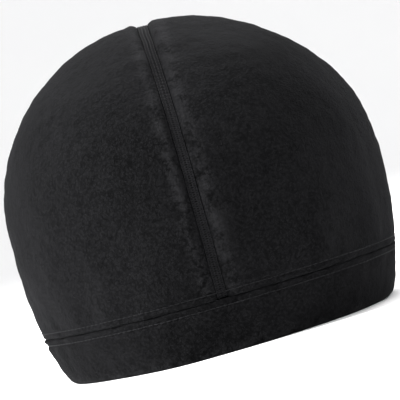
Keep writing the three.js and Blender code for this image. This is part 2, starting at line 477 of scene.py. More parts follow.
class Modelling:
    """Steps of modelling that the sub-assemblies share, made with Blender's own operators."""

    MERGE = 1e-6
    SMOOTH_ANGLE = math.radians(50)
    HALF_THROUGH = -0.5

    @staticmethod
    def lone(piece: bpy.types.Object) -> None:
        """Selects one object and makes it the active one.

        Args:
            piece: the object.
        """
        bpy.ops.object.select_all(action="DESELECT")
        piece.select_set(True)
        bpy.context.view_layer.objects.active = piece

    @staticmethod
    @contextmanager
    def editing() -> Iterator[None]:
        """Opens the active piece for edits with all of it selected, and closes it after them.

        Yields:
            Nothing: the edits are made between the opening and the closing.
        """
        bpy.ops.object.mode_set(mode="EDIT")
        bpy.ops.mesh.select_all(action="SELECT")
        yield
        bpy.ops.object.mode_set(mode="OBJECT")

    @classmethod
    def slab(cls, name: str, columns: int, rows: int) -> bpy.types.Object:
        """Cuts a flat pattern one unit square with a face on each side and a closed edge.

        Args:
            name: the piece's name.
            columns: faces along X.
            rows: faces along Y.
        Returns:
            The pattern, with X and Y from 0 to 1, and Z 0 outside and -1 inside.
        """
        bpy.ops.mesh.primitive_grid_add(
            x_subdivisions=columns, y_subdivisions=rows, size=1, location=(0.5, 0.5, 0)
        )
        piece = bpy.context.object
        piece.name = name
        bpy.ops.object.transform_apply(location=True)
        with cls.editing():
            bpy.ops.mesh.extrude_region_move(TRANSFORM_OT_translate={"value": (0, 0, -1)})
        return piece

    @classmethod
    def inner(cls, pattern: np.ndarray) -> np.ndarray:
        """Which points of a slab are on its inner face."""
        return pattern[:, 2] < cls.HALF_THROUGH

    @staticmethod
    def points(piece: bpy.types.Object) -> np.ndarray:
        """The piece's vertices.

        Args:
            piece: the piece.
        Returns:
            Their places, one row each.
        """
        flat = np.zeros(len(piece.data.vertices) * 3)
        piece.data.vertices.foreach_get("co", flat)
        return flat.reshape(-1, 3)

    @classmethod
    def lay(cls, piece: bpy.types.Object, laid: PointMap) -> None:
        """Moves every vertex of a pattern to its place on the form.

        Args:
            piece: the flat pattern.
            laid: gives the places, from the pattern's points.
        """
        placed = laid(cls.points(piece))
        piece.data.vertices.foreach_set("co", placed.ravel())
        piece.data.update()

    @classmethod
    def close(cls, piece: bpy.types.Object) -> None:
        """Merges what meets, turns the faces out and smooths the cloth.

        Args:
            piece: the piece as it was laid.
        """
        cls.lone(piece)
        with cls.editing():
            bpy.ops.mesh.remove_doubles(threshold=cls.MERGE)
            bpy.ops.mesh.normals_make_consistent(inside=False)
        bpy.ops.object.shade_smooth_by_angle(angle=cls.SMOOTH_ANGLE)

    @classmethod
    def dress(
        cls, piece: bpy.types.Object, laid: PointMap, finish: bpy.types.Material
    ) -> bpy.types.Object:
        """Lays a pattern over the form, closes it and gives it its finish.

        Args:
            piece: the flat pattern.
            laid: gives the places, from the pattern's points.
            finish: the finish.
        Returns:
            The same piece.
        """
        cls.lay(piece, laid)
        cls.close(piece)
        piece.data.materials.append(finish)
        return piece

    @classmethod
    def repeat(cls, piece: bpy.types.Object, pitch: float, count: int) -> None:
        """Repeats a piece along X with an array that is applied.

        Args:
            piece: the piece to repeat.
            pitch: the distance from one copy to the next.
            count: how many there are in all.
        """
        cls.lone(piece)
        array = piece.modifiers.new("repeat", "ARRAY")
        array.use_relative_offset = False
        array.use_constant_offset = True
        array.constant_offset_displace = (pitch, 0, 0)
        array.count = count
        bpy.ops.object.modifier_apply(modifier=array.name)

    @classmethod
    def joined(cls, pieces: list[bpy.types.Object], name: str) -> bpy.types.Object:
        """Joins pieces into one.

        Args:
            pieces: what is joined.
            name: the new piece's name.
        Returns:
            The joined piece.
        """
        cls.lone(pieces[0])
        for piece in pieces:
            piece.select_set(True)
        bpy.ops.object.join()
        pieces[0].name = name
        return pieces[0]

    @staticmethod
    def mark(piece: bpy.types.Object, name: str, values: np.ndarray) -> None:
        """Stores a number on each vertex of a piece for the finish to read."""
        attribute = piece.data.attributes.new(name, "FLOAT", "POINT")
        attribute.data.foreach_set("value", values.astype(np.float32))


class Signal:
    """A number or colour in a finish that takes part in arithmetic as a Python value does."""

    def __init__(self, sheet: FinishSheet, socket: bpy.types.NodeSocket) -> None:
        """Wraps an output of one of a finish's nodes."""
        self.sheet = sheet
        self.socket = socket

    def _maths(self, operation: str, first: Signal | float, second: Signal | float) -> Signal:
        """Adds a Math node on two values and gives its result."""
        settings, inputs = {"operation": operation}, {0: first, 1: second}
        return self.sheet.node("ShaderNodeMath", settings, inputs, 0)

    def __add__(self, other: Signal | float) -> Signal:
        """This and another value together."""
        return self._maths("ADD", self, other)

    def __radd__(self, other: float) -> Signal:
        """Another value and this together."""
        return self._maths("ADD", other, self)

    def __sub__(self, other: Signal | float) -> Signal:
        """This less another value."""
        return self._maths("SUBTRACT", self, other)

    def __rsub__(self, other: float) -> Signal:
        """Another value less this."""
        return self._maths("SUBTRACT", other, self)

    def __mul__(self, other: Signal | float) -> Signal:
        """This times another value."""
        return self._maths("MULTIPLY", self, other)

    def __rmul__(self, other: float) -> Signal:
        """Another value times this."""
        return self._maths("MULTIPLY", other, self)


class FinishSheet:
    """The nodes of one finish."""

    # Places of the colour sockets among all the sockets of a Mix node
    FIRST_COLOUR, SECOND_COLOUR, MIXED_COLOUR = 6, 7, 2

    def __init__(self, name: str) -> None:
        """Starts a material with a plain Principled shader.

        Args:
            name: the material's name.
        """
        self.material = bpy.data.materials.new(name)
        self.material.use_nodes = True
        self.tree = self.material.node_tree
        self.shader = self.tree.nodes["Principled BSDF"]

    def node(
        self,
        kind: str,
        settings: dict[str, object],
        inputs: dict[str | int, object],
        output: str | int,
    ) -> Signal:
        """Adds a node.

        Args:
            kind: the node's type.
            settings: what is set on the node itself, before its sockets.
            inputs: values or signals for its sockets, by name or place.
            output: the name or place of the socket that the result comes from.
        Returns:
            The result.
        """
        node = self.tree.nodes.new(kind)
        for name, value in settings.items():
            setattr(node, name, value)
        for place, value in inputs.items():
            self.feed(node.inputs[place], value)
        return Signal(self, node.outputs[output])

    def feed(self, socket: bpy.types.NodeSocket, value: object) -> None:
        """Links a signal to a socket, or sets the socket's value.

        Args:
            socket: the socket.
            value: the signal or value.
        """
        if isinstance(value, Signal):
            self.tree.links.new(value.socket, socket)
        else:
            socket.default_value = value

    def place(self) -> Signal:
        """The point on the piece, in metres."""
        return self.node("ShaderNodeTexCoord", {}, {}, "Object")

    def stored(self, name: str) -> Signal:
        """A number that is stored on the piece's vertices."""
        return self.node("ShaderNodeAttribute", {"attribute_name": name}, {}, "Fac")

    def grain(self, size: float, detail: float, rough: float = 0.5) -> Signal:
        """Noise, about 0 to 1, with features of a size in metres, and finer layers in it."""
        inputs = {"Vector": self.place(), "Scale": 1 / size, "Detail": detail, "Roughness": rough}
        return self.node("ShaderNodeTexNoise", {}, inputs, "Fac")

    def tufts(self, size: float, unrest: float) -> Signal:
        """Small rounded tufts that crowd each other.

        Args:
            size: a tuft's size in metres.
            unrest: how far the tufts are pushed about, as a share of their size.
        Returns:
            The tufts' height, 1 on top and near 0 between them.
        """
        place = self.place()
        inputs = {"Vector": place, "Scale": 1 / size, "Detail": 1.0}
        push = self.node("ShaderNodeTexNoise", {}, inputs, "Color")
        inputs = {0: push, 1: Vector((unrest * size,) * 3), 2: place}
        pushed = self.node("ShaderNodeVectorMath", {"operation": "MULTIPLY_ADD"}, inputs, "Vector")
        inputs = {"Vector": pushed, "Scale": 1 / size}
        return 1 - self.node("ShaderNodeTexVoronoi", {"feature": "F1"}, inputs, "Distance")

    def between(self, signal: Signal, low: float, high: float) -> Signal:
        """Stretches a signal so that low becomes 0 and high becomes 1, with a soft start and end.

        Args:
            signal: the signal.
            low: the value that becomes 0.
            high: the value that becomes 1.
        Returns:
            The stretched signal.
        """
        settings = {"interpolation_type": "SMOOTHSTEP"}
        inputs = {"Value": signal, "From Min": low, "From Max": high}
        return self.node("ShaderNodeMapRange", settings, inputs, "Result")

    def blend(self, share: Signal, first: object, second: object) -> Signal:
        """Mixes two colours by the share of the second one."""
        inputs = {0: share, self.FIRST_COLOUR: first, self.SECOND_COLOUR: second}
        return self.node("ShaderNodeMix", {"data_type": "RGBA"}, inputs, self.MIXED_COLOUR)

    def bump(self, height: Signal, depth: float) -> None:
        """Raises the surface by a signal, where a signal of 1 stands for the depth in metres."""
        inputs = {"Height": height, "Distance": depth, "Strength": 1.0}
        self.set(Normal=self.node("ShaderNodeBump", {}, inputs, "Normal"))

    def set(self, **values: object) -> None:
        """Sets or links the shader's sockets, named with underscores for spaces."""
        for name, value in values.items():
            self.feed(self.shader.inputs[name.replace("_", " ")], value)


Colour = tuple[float, float, float, float]
Span = tuple[float, float]


@dataclass(frozen=True)
class FleeceFinish:
    """Brushed fleece: a matt black nap of tiny tufts in clumps, worn lighter on its lips, where a
    highlight is painted too.

    The pile is made of fibres and tufts. Its tone comes from the pile, the clumps and broad
    patches: the pile's share is painted shade that follows the bump, darker in the hollows between
    tufts and lighter on their tops, and the clumps and patches vary the tone at random. A span is
    the part of a noise's range that is stretched over the whole tone.
    """

    name: str
    # Ends of the tone: the pile's share paints shade, darker in the hollows between tufts and
    # lighter on their tops
    shaded_deep: Colour = (0.0011, 0.0011, 0.0012, 1)
    lit_raised: Colour = (0.0066, 0.0066, 0.0071, 1)
    # Lighter colour for wear on the lips and the hem's fold, and for a painted highlight on the
    # gores' lips
    rubbed: Colour = (0.0105, 0.0105, 0.0112, 1)
    tuft_size: float = 1.5 * MILLIMETRE
    tuft_unrest: float = 1.6
    fibre_size: float = 0.7 * MILLIMETRE
    clump_size: float = 7 * MILLIMETRE
    patch_size: float = 38 * MILLIMETRE
    nap_depth: float = 0.75 * MILLIMETRE
    clump_relief: float = 0.2
    fibre_share: float = 0.6
    pile_range: Span = (0.36, 0.7)
    cloud_range: Span = (0.3, 0.7)
    rub_range: Span = (0.3, 0.75)
    pile_shade: float = 0.7
    cloud_tone: float = 0.15
    rub_pile: float = 0.7
    smoothest: float = 0.84
    roughening: float = 0.14
    specular: float = 0.02
    sheen: float = 0.03
    sheen_roughness: float = 0.5
    sheen_tint: Colour = (0.42, 0.43, 0.46, 1)

    def material(self) -> bpy.types.Material:
        """Builds the finish.

        Returns:
            The material.
        """
        sheet = FinishSheet(self.name)
        tufts = sheet.tufts(self.tuft_size, self.tuft_unrest)
        fibres = sheet.grain(self.fibre_size, detail=4, rough=0.7)
        clumps = sheet.between(sheet.grain(self.clump_size, detail=3, rough=0.6), *self.cloud_range)
        patches = sheet.between(sheet.grain(self.patch_size, detail=1), *self.cloud_range)
        pile = fibres * self.fibre_share + tufts * (1 - self.fibre_share)
        # Painted shade that follows the bump: darker deep in the pile, lighter on the raised tufts
        pile_shade = sheet.between(pile, *self.pile_range) * self.pile_shade
        tone = pile_shade + clumps * self.cloud_tone + patches * self.cloud_tone
        cloth = sheet.blend(tone, self.shaded_deep, self.lit_raised)
        # Lightens the nap where the stored mask says: wear, and on the gores' lips a painted
        # highlight
        worn_and_highlit_pile = pile * self.rub_pile + clumps * (1 - self.rub_pile)
        rub = sheet.stored("rub") * sheet.between(worn_and_highlit_pile, *self.rub_range)
        sheet.set(
            Base_Color=sheet.blend(rub, cloth, self.rubbed),
            Roughness=self.smoothest + tone * self.roughening,
            Specular_IOR_Level=self.specular,
            Sheen_Weight=self.sheen,
            Sheen_Roughness=self.sheen_roughness,
            Sheen_Tint=self.sheen_tint,
        )
        sheet.bump(pile + clumps * self.clump_relief, self.nap_depth)
        return sheet.material


@dataclass(frozen=True)
class ThreadFinish:
    """Black polyester sewing thread: two twisted plies with a faint satin gloss."""

    name: str
    dark: Colour = (0.002, 0.002, 0.0024, 1)
    lit: Colour = (0.008, 0.008, 0.009, 1)
    ply_size: float = 0.25 * MILLIMETRE
    ply_depth: float = 0.06 * MILLIMETRE
    ply_range: Span = (0.35, 0.65)
    smoothest: float = 0.55
    roughening: float = 0.25
    specular: float = 0.1

    def material(self) -> bpy.types.Material:
        """Builds the finish.

        Returns:
            The material.
        """
        sheet = FinishSheet(self.name)
        plies = sheet.grain(self.ply_size, detail=1)
        sheet.set(
            Base_Color=sheet.blend(sheet.between(plies, *self.ply_range), self.dark, self.lit),
            Roughness=self.smoothest + plies * self.roughening,
            Specular_IOR_Level=self.specular,
        )
        sheet.bump(plies, self.ply_depth)
        return sheet.material


@dataclass(frozen=True)
class FloorFinish:
    """The pale floor of the studio, evenly matt."""

    name: str = "pale_floor"
    pale: Colour = (0.86, 0.86, 0.87, 1)
    paler: Colour = (0.88, 0.88, 0.88, 1)
    patch_size: float = 0.4
    roughness: float = 0.9
    specular: float = 0.1

    def material(self) -> bpy.types.Material:
        """Builds the finish.

        Returns:
            The material.
        """
        sheet = FinishSheet(self.name)
        patches = sheet.grain(self.patch_size, detail=1)
        sheet.set(
            Base_Color=sheet.blend(patches, self.pale, self.paler),
            Roughness=self.roughness,
            Specular_IOR_Level=self.specular,
        )
        return sheet.material


@dataclass(frozen=True)
class SeamLine:
    """The line of a seam's middle on the smooth form, measured along it from its first end."""

    reach: np.ndarray
    height: np.ndarray
    measure: np.ndarray
    normal: np.ndarray

    SAMPLES = 500

    @classmethod
    def over(cls, reach: np.ndarray, height: np.ndarray) -> SeamLine:
        """Measures a line in the seam's own upright plane.

        Args:
            reach: level distances from the middle of the cap.
            height: heights above the rim.
        Returns:
            The measured line.
        """
        steps = np.hypot(np.diff(reach), np.diff(height))
        tangent = np.stack([np.gradient(reach), np.gradient(height)], axis=1)
        tangent /= np.linalg.norm(tangent, axis=1, keepdims=True)
        outward = np.stack([tangent[:, 1], -tangent[:, 0]], axis=1)
        return cls(reach, height, np.concatenate([[0], np.cumsum(steps)]), outward)

    @classmethod
    def upright(cls, form: CapForm, along_depth: bool) -> tuple[np.ndarray, np.ndarray]:
        """The line from the hem up to the crown, on the smooth form.

        Args:
            form: the cap's form.
            along_depth: True up the front and back, and False up the sides.
        Returns:
            The level distances from the middle of the cap, and the heights.
        """
        section = form.climbed(np.linspace(0, 1, cls.SAMPLES))
        half = section.half_depth if along_depth else section.half_width
        reach = form.gore_edge + (half - form.gore_edge) * section.spread
        return reach, form.level(section, 0)

    @classmethod
    def up_side(cls, form: CapForm) -> SeamLine:
        """The line of a side seam, from the hem up to the crown."""
        return cls.over(*cls.upright(form, along_depth=False))

    @classmethod
    def over_crown(cls, form: CapForm) -> SeamLine:
        """The line of the crown seam, up the back and over the crown to the front.

        Args:
            form: the cap's form.
        Returns:
            The measured line.
        """
        reach, height = cls.upright(form, along_depth=True)
        return cls.over(
            np.concatenate([reach, -reach[::-1]]), np.concatenate([height, height[::-1]])
        )

    @property
    def length(self) -> float:
        """Length of the line along the cloth."""
        return float(self.measure[-1])

    def at(self, measure: np.ndarray, inset: np.ndarray) -> tuple[np.ndarray, np.ndarray]:
        """Points of the line, at depths below it.

        Args:
            measure: distances along the line.
            inset: depths below the smooth form.
        Returns:
            The level distances from the middle of the cap, and the heights.
        """
        reach = np.interp(measure, self.measure, self.reach)
        height = np.interp(measure, self.measure, self.height)
        out = np.interp(measure, self.measure, self.normal[:, 0])
        up = np.interp(measure, self.measure, self.normal[:, 1])
        return reach - inset * out, height - inset * up


@dataclass
class Gore:
    """One of the four fleece gores, a quarter of the cap."""

    form: CapForm
    drape: Drape
    side: Side
    facing: Facing
    columns: int = 140
    rows: int = 180
    edge_density: float = 3.0
    edge_share: float = 0.02
    # Distance from the gore's edge at which the lips are worn lighter and a highlight is painted
    rub_reach: float = 3.2 * MILLIMETRE
    side_key: float = 10.0
    facing_key: float = 3.0

    TABLE = 2001

    @property
    def node(self) -> str:
        """Name of the solid that the gore stands for."""
        return f"gore_{self.facing.name.lower()}_{self.side.name.lower()}"

    def crowded(self, share: np.ndarray) -> np.ndarray:
        """Draws even rows or columns closer together beside both edges of the pattern.

        Args:
            share: even places, 0 to 1.
        Returns:
            The crowded places, 0 to 1.
        """
        places = np.linspace(0, 1, self.TABLE)
        to_edge = np.minimum(places, 1 - places)
        density = 1 + self.edge_density * np.exp(-to_edge / self.edge_share)
        filled = np.cumsum(density) - density[0]
        return np.interp(share, filled / filled[-1], places)

    def laid(self, pattern: np.ndarray) -> np.ndarray:
        """Lays the pattern over the form.

        Args:
            pattern: X from the side seam to the crown seam, Y from the hem to the crown, both as
                shares, and Z 0 outside and -1 inside.
        Returns:
            The places on the cap.
        """
        form = self.form
        climb = self.crowded(pattern[:, 1])
        section = form.climbed(climb)
        angle = RIGHT_ANGLE * self.crowded(pattern[:, 0])
        across, along = form.offsets(section, angle, 0)
        height = form.level(section, 0)
        x_sign, y_sign = self.side.value, self.facing.value
        smooth = form.settled(x_sign * across, y_sign * along, height)
        to_seam = np.minimum(across, along) - form.gore_edge
        up = climb * SeamLine.up_side(form).length
        rise = (height - form.joint) / (form.height - form.joint)
        swell = form.gore_puff * np.sin(2 * angle) * np.sin(math.pi * rise)
        key = self.side_key * x_sign + self.facing_key * y_sign
        swell += self.drape.over_gore(smooth, to_seam, up, angle * section.half_width, key)
        sunk = form.sunk(across, along, height) + self.drape.topstitch_valley(height)
        inner = np.maximum(form.fleece_wall, sunk + form.seam_wall)
        inset = np.where(Modelling.inner(pattern), inner, sunk) - swell
        across, along = form.offsets(section, angle, inset)
        across, along = form.overhung(across), form.overhung(along)
        return form.settled(x_sign * across, y_sign * along, form.level(section, inset))

    def rub(self, points: np.ndarray) -> np.ndarray:
        """How far the nap is worn lighter, with a painted highlight, most on the lips beside the
        seams.
        """
        to_seam = np.minimum(np.abs(points[:, 0]), np.abs(points[:, 1])) - self.form.gore_edge
        return np.exp(-(((to_seam - self.rub_reach) / self.rub_reach) ** 2))

    def build(self, finish: bpy.types.Material) -> bpy.types.Object:
        """Cuts the gore, lays it over the form and dresses it.

        Args:
            finish: the fleece.
        Returns:
            The gore.
        """
        piece = Modelling.slab(f"{self.node}_fleece", self.columns, self.rows)
        Modelling.dress(piece, self.laid, finish)
        # Stores the mask of wear and painted highlight on the lips beside the seams
        Modelling.mark(piece, "rub", self.rub(Modelling.points(piece)))
        return piece


@dataclass(frozen=True)
class Stitching:
    """Needle threads and the cover threads that cross between them, modelled flat and repeated."""

    needle_radius: float = 0.26 * MILLIMETRE
    cover_radius: float = 0.2 * MILLIMETRE
    pitch: float = 2.2 * MILLIMETRE
    thread_gap: float = 0.16 * MILLIMETRE
    needle_lift: float = 0.22 * MILLIMETRE
    cover_lift: float = 0.12 * MILLIMETRE
    end_dip: float = 0.24 * MILLIMETRE
    needle_rows: int = 4
    needle_sides: int = 6
    cover_sides: int = 5
    bends: tuple[float, ...] = (-0.3, 0, 0.3)
    end_narrowing: float = 0.35
    cover_phases: tuple[float, ...] = (0.0, 0.5)
    wander: Waves = Waves(height=0.2 * MILLIMETRE, length=12 * MILLIMETRE)

    def needle_stitch(self, across: float) -> bpy.types.Object:
        """One stitch of needle thread along X, arched, with both ends drawn into the cloth.

        Args:
            across: its place across the seam.
        Returns:
            The stitch.
        """
        length = self.pitch - self.thread_gap
        bpy.ops.mesh.primitive_cylinder_add(
            vertices=self.needle_sides,
            radius=self.needle_radius,
            depth=length,
            location=(self.pitch / 2, across, self.needle_lift),
            rotation=(0, RIGHT_ANGLE, 0),
        )
        stitch = bpy.context.object
        bpy.ops.object.transform_apply(location=True, rotation=True)
        for share in self.bends:
            with Modelling.editing():
                bpy.ops.mesh.bisect(
                    plane_co=(self.pitch / 2 + share * length, across, 0), plane_no=(1, 0, 0)
                )

        def arched(points: np.ndarray) -> np.ndarray:
            """Drops and narrows the thread towards its ends.

            Args:
                points: the straight thread's points.
            Returns:
                The points moved.
            """
            share = np.abs(points[:, 0] - self.pitch / 2) / (length / 2)
            moved = points.copy()
            narrow = 1 - self.end_narrowing * share**3
            moved[:, 1] = across + (points[:, 1] - across) * narrow
            moved[:, 2] = points[:, 2] * narrow - self.end_dip * share**2
            return moved

        Modelling.lay(stitch, arched)
        return stitch

    def cover_stitch(self, reach: float, phase: float) -> list[bpy.types.Object]:
        """A cover thread's share in one stitch: it crosses the seam and comes back.

        Args:
            reach: how far it reaches to either side of the seam's middle.
            phase: where it starts, as a share of the pitch.
        Returns:
            Its two strands.
        """
        strands = []
        run = math.hypot(2 * reach, self.pitch / 2)
        slant = math.atan2(self.pitch / 2, 2 * reach)
        for place, way in ((1 / 4, 1), (3 / 4, -1)):
            bpy.ops.mesh.primitive_cylinder_add(
                vertices=self.cover_sides,
                radius=self.cover_radius,
                depth=run,
                location=(self.pitch * (place + phase), 0, self.cover_lift),
                rotation=(RIGHT_ANGLE, 0, -way * slant),
            )
            bpy.ops.object.transform_apply(location=True, rotation=True)
            strands.append(bpy.context.object)
        return strands

    def wandered(self, flat: np.ndarray, key: float) -> np.ndarray:
        """Lets the threads wander a little to the side, as under a hand-guided machine.

        Args:
            flat: the flat threads' points.
            key: a number that no other seam or row has.
        Returns:
            The points moved.
        """
        moved = flat.copy()
        along = np.stack([flat[:, 0], np.full(len(flat), key), np.zeros(len(flat))], axis=1)
        moved[:, 1] += self.wander.over(along)
        return moved

    def flat_seam(self, name: str, width: float, length: float) -> bpy.types.Object:
        """The threads of a flat seam: rows of needle thread with two cover threads between them.

        Args:
            name: the piece's name.
            width: the width from the first needle thread to the last.
            length: the seam's length, which the stitches divide evenly.
        Returns:
            The threads, laid flat, with X along the seam and Z above the cloth.
        """
        rows = np.linspace(-width / 2, width / 2, self.needle_rows)
        threads = [self.needle_stitch(float(across)) for across in rows]
        for phase in self.cover_phases:
            threads += self.cover_stitch(width / 2, phase)
        return self.run_of(Modelling.joined(threads, name), length)

    def row(self, name: str, length: float) -> bpy.types.Object:
        """One row of topstitching.

        Args:
            name: the piece's name.
            length: the row's length, which the stitches divide evenly.
        Returns:
            The row, laid flat along X.
        """
        unit = self.needle_stitch(0.0)
        unit.name = name
        return self.run_of(unit, length)

    def run_of(self, unit: bpy.types.Object, length: float) -> bpy.types.Object:
        """Repeats a stitch along a seam and fits the run to the seam's length.

        Args:
            unit: the stitch.
            length: the seam's length.
        Returns:
            The run.
        """
        count = round(length / self.pitch)
        Modelling.repeat(unit, self.pitch, count)
        Modelling.lay(unit, lambda points: points * [length / (count * self.pitch), 1, 1])
        return unit


@dataclass
class FlatSeam:
    """A flat seam: the pressed strip where gores meet, and the threads over both its faces."""

    form: CapForm
    drape: Drape
    node: str
    line: SeamLine
    side: Side | None = None
    thread_width: float = 4.3 * MILLIMETRE
    strip_step: float = 0.7 * MILLIMETRE
    strip_columns: int = 14
    rib: float = 0.14 * MILLIMETRE
    thread_room: float = 0.5 * MILLIMETRE
    end_share: float = 0.3
    tuck: float = 0.9 * MILLIMETRE
    tuck_dip: float = 0.4 * MILLIMETRE
    stitching: Stitching = Stitching()

    def placed(self, measure: np.ndarray, across: np.ndarray, inset: np.ndarray) -> np.ndarray:
        """Places points by their distance along the seam.

        Args:
            measure: distances along the seam.
            across: distances from its middle.
            inset: depths below the smooth form.
        Returns:
            The places on the cap.
        """
        reach, height = self.line.at(measure, 0 * inset)
        smooth = self.spread(reach, height, across)
        inset = inset + self.end_share * self.form.joint_sunk(height) - self.drape.broad(smooth)
        reach, height = self.line.at(measure, inset)
        return self.spread(reach, height, across)

    def spread(self, reach: np.ndarray, height: np.ndarray, across: np.ndarray) -> np.ndarray:
        """Turns distances from the cap's middle and from the seam's middle into places on the cap.

        Args:
            reach: level distances from the middle of the cap.
            height: heights above the rim.
            across: distances from the seam's middle.
        Returns:
            The places on the cap.
        """
        if self.side is None:
            return self.form.settled(-across, reach, height)
        return self.form.settled(self.side.value * reach, self.side.value * across, height)

    def strip(self, finish: bpy.types.Material) -> bpy.types.Object:
        """The pressed cloth of the seam, ribbed a little between the stitches.

        Args:
            finish: the pressed fleece.
        Returns:
            The strip.
        """
        rows = round(self.line.length / self.strip_step)
        piece = Modelling.slab(f"{self.node}_strip", rows, self.strip_columns)

        def laid(pattern: np.ndarray) -> np.ndarray:
            """Lays the strip along the seam, with its edges tucked under the gores' lips.

            Args:
                pattern: X along the seam and Y across it, both as shares.
            Returns:
                The places on the cap.
            """
            measure = pattern[:, 0] * self.line.length
            across = (pattern[:, 1] - 0.5) * (self.form.seam_width + 2 * self.tuck)
            tucked = np.clip((np.abs(across) - self.form.seam_width / 2) / self.tuck, 0, 1)
            rib = self.rib * np.cos(2 * math.pi * measure / self.stitching.pitch)
            dip = self.tuck_dip * tucked
            outer = self.form.seam_sink + self.thread_room - rib * (1 - tucked) + dip
            inner = self.form.seam_sink + self.form.seam_wall - dip
            return self.placed(measure, across, np.where(Modelling.inner(pattern), inner, outer))

        Modelling.dress(piece, laid, finish)
        Modelling.mark(piece, "rub", np.zeros(len(piece.data.vertices)))
        return piece

    def threads(self, face: Face, finish: bpy.types.Material) -> bpy.types.Object:
        """The threads on one face of the seam.

        Args:
            face: the face.
            finish: the thread.
        Returns:
            The threads.
        """
        name = f"{self.node}_threads_{face.name.lower()}"
        piece = self.stitching.flat_seam(name, self.thread_width, self.line.length)
        cloth = self.form.seam_wall if face is Face.INSIDE else self.thread_room
        base = self.form.seam_sink + cloth

        def laid(flat: np.ndarray) -> np.ndarray:
            """Lays the threads along the seam."""
            moved = self.stitching.wandered(flat, self.line.length)
            return self.placed(moved[:, 0], moved[:, 1], base + face.value * moved[:, 2])

        return Modelling.dress(piece, laid, finish)


@dataclass
class HemBand:
    """The doubled band round the lower edge, with its fold at the rim and its topstitching."""

    form: CapForm
    drape: Drape
    wall: float = 5 * MILLIMETRE
    fold: float = 2 * MILLIMETRE
    top_fold: float = 0.8 * MILLIMETRE
    outline_points: int = 84
    corner_points: int = 12
    steps: int = 560
    ripple: Waves = Waves(height=1.1 * MILLIMETRE, length=24 * MILLIMETRE, seed=31)
    ripple_reach: float = 9 * MILLIMETRE
    slant: float = 0.45
    join_depth: float = 0.9 * MILLIMETRE
    join_reach: float = 1.8 * MILLIMETRE
    rub_rise: float = 3 * MILLIMETRE
    stitching: Stitching = Stitching(pitch=3.0 * MILLIMETRE, needle_radius=0.28 * MILLIMETRE)

    BACK_MIDDLE = 0.25
    LEFT_MIDDLE = 0.5

    def outline(self) -> np.ndarray:
        """The band's cut end.

        Returns:
            Evenly spaced points round it: the depth below the outer face, and the height.
        """
        top = self.form.joint - self.top_fold
        corners = (
            (self.wall - self.fold, self.fold, self.fold),
            (self.fold, self.fold, self.fold),
            (self.top_fold, top, self.top_fold),
            (self.wall - self.top_fold, top, self.top_fold),
        )
        points = []
        for quarter, (depth, height, radius) in enumerate(corners):
            start = -quarter * RIGHT_ANGLE
            for turn in np.linspace(start, start - RIGHT_ANGLE, self.corner_points):
                points.append((depth + radius * math.cos(turn), height + radius * math.sin(turn)))
        points.append(points[0])
        line = np.array(points)
        measure = np.concatenate([[0], np.cumsum(np.linalg.norm(np.diff(line, axis=0), axis=1))])
        even = np.linspace(0, measure[-1], self.outline_points, endpoint=False)
        return np.stack([np.interp(even, measure, line[:, axis]) for axis in (0, 1)], axis=1)

    def spun(self) -> bpy.types.Object:
        """Spins the cut end into a round band.

        Returns:
            The round band, before it is laid over the form.
        """
        radius = self.form.rim_depth / 2
        bpy.ops.mesh.primitive_circle_add(vertices=self.outline_points, radius=self.fold)
        piece = bpy.context.object
        piece.name = "hem_band_fleece"
        cut_end = self.outline()

        def shaped(points: np.ndarray) -> np.ndarray:
            """Draws the circle out to the band's cut end, standing at the band's radius."""
            return np.stack([radius - cut_end[:, 0], 0 * points[:, 1], cut_end[:, 1]], axis=1)

        Modelling.lay(piece, shaped)
        with Modelling.editing():
            bpy.ops.mesh.spin(
                steps=self.steps, angle=4 * RIGHT_ANGLE, center=(0, 0, 0), axis=(0, 0, 1)
            )
        return piece

    def laid(self, ring: np.ndarray) -> np.ndarray:
        """Lays the round band over the form.

        Args:
            ring: the points of the round band.
        Returns:
            The places on the cap.
        """
        form = self.form
        depth = form.rim_depth / 2 - np.hypot(ring[:, 0], ring[:, 1])
        turn = (np.arctan2(ring[:, 1], ring[:, 0]) / (2 * math.pi)) % 1
        height = ring[:, 2]
        smooth = form.ring(turn, height, 0 * height)
        to_joint = form.joint - height
        round_band = np.abs(turn - self.LEFT_MIDDLE) * self.length + self.slant * to_joint
        by_joint = np.stack([round_band, to_joint / self.drape.stretch, 0 * turn], axis=1)
        outside = np.clip(1 - depth / (self.wall / 2), 0, 1)
        free = np.clip(height / self.fold, 0, 1) * self.drape.loose(height)
        swell = self.drape.gather.over(by_joint, to_joint) + self.drape.fine(ring)
        swell = swell * free + self.rippled(smooth)
        off_join = np.abs(turn - self.BACK_MIDDLE) * self.length
        join = self.join_depth * np.clip(1 - off_join / self.join_reach, 0, 1) ** 2
        sunk = form.joint_sunk(height) + self.drape.topstitch_valley(height) + join
        return form.ring(turn, height, depth + sunk * outside - swell)

    @property
    def length(self) -> float:
        """Length of the band round the cap."""
        return math.pi * (self.form.rim_width + self.form.rim_depth) / 2

    def rippled(self, points: np.ndarray) -> np.ndarray:
        """Heights of the band's own ripples and of the broad folds."""
        freed = 1 - np.exp(-np.abs(self.form.joint - points[:, 2]) / self.ripple_reach)
        return self.drape.broad(points) + self.ripple.over(points) * freed

    def build(self, finish: bpy.types.Material) -> bpy.types.Object:
        """Makes the band and dresses it.

        Args:
            finish: the pressed fleece.
        Returns:
            The band.
        """
        piece = self.spun()
        Modelling.close(piece)
        Modelling.dress(piece, self.laid, finish)
        height = Modelling.points(piece)[:, 2]
        Modelling.mark(piece, "rub", np.exp(-((height / self.rub_rise) ** 2)))
        return piece

    def topstitching(self, row: Row, face: Face, finish: bpy.types.Material) -> bpy.types.Object:
        """A row of stitches beside the hem's joint, all the way round.

        Args:
            row: the upper row, on the gores, or the lower one, on the band.
            face: the face that it shows on.
            finish: the thread.
        Returns:
            The row.
        """
        form = self.form
        level = form.joint + row.value * self.drape.topstitch_rise
        name = f"topstitching_{row.name.lower()}_{face.name.lower()}"

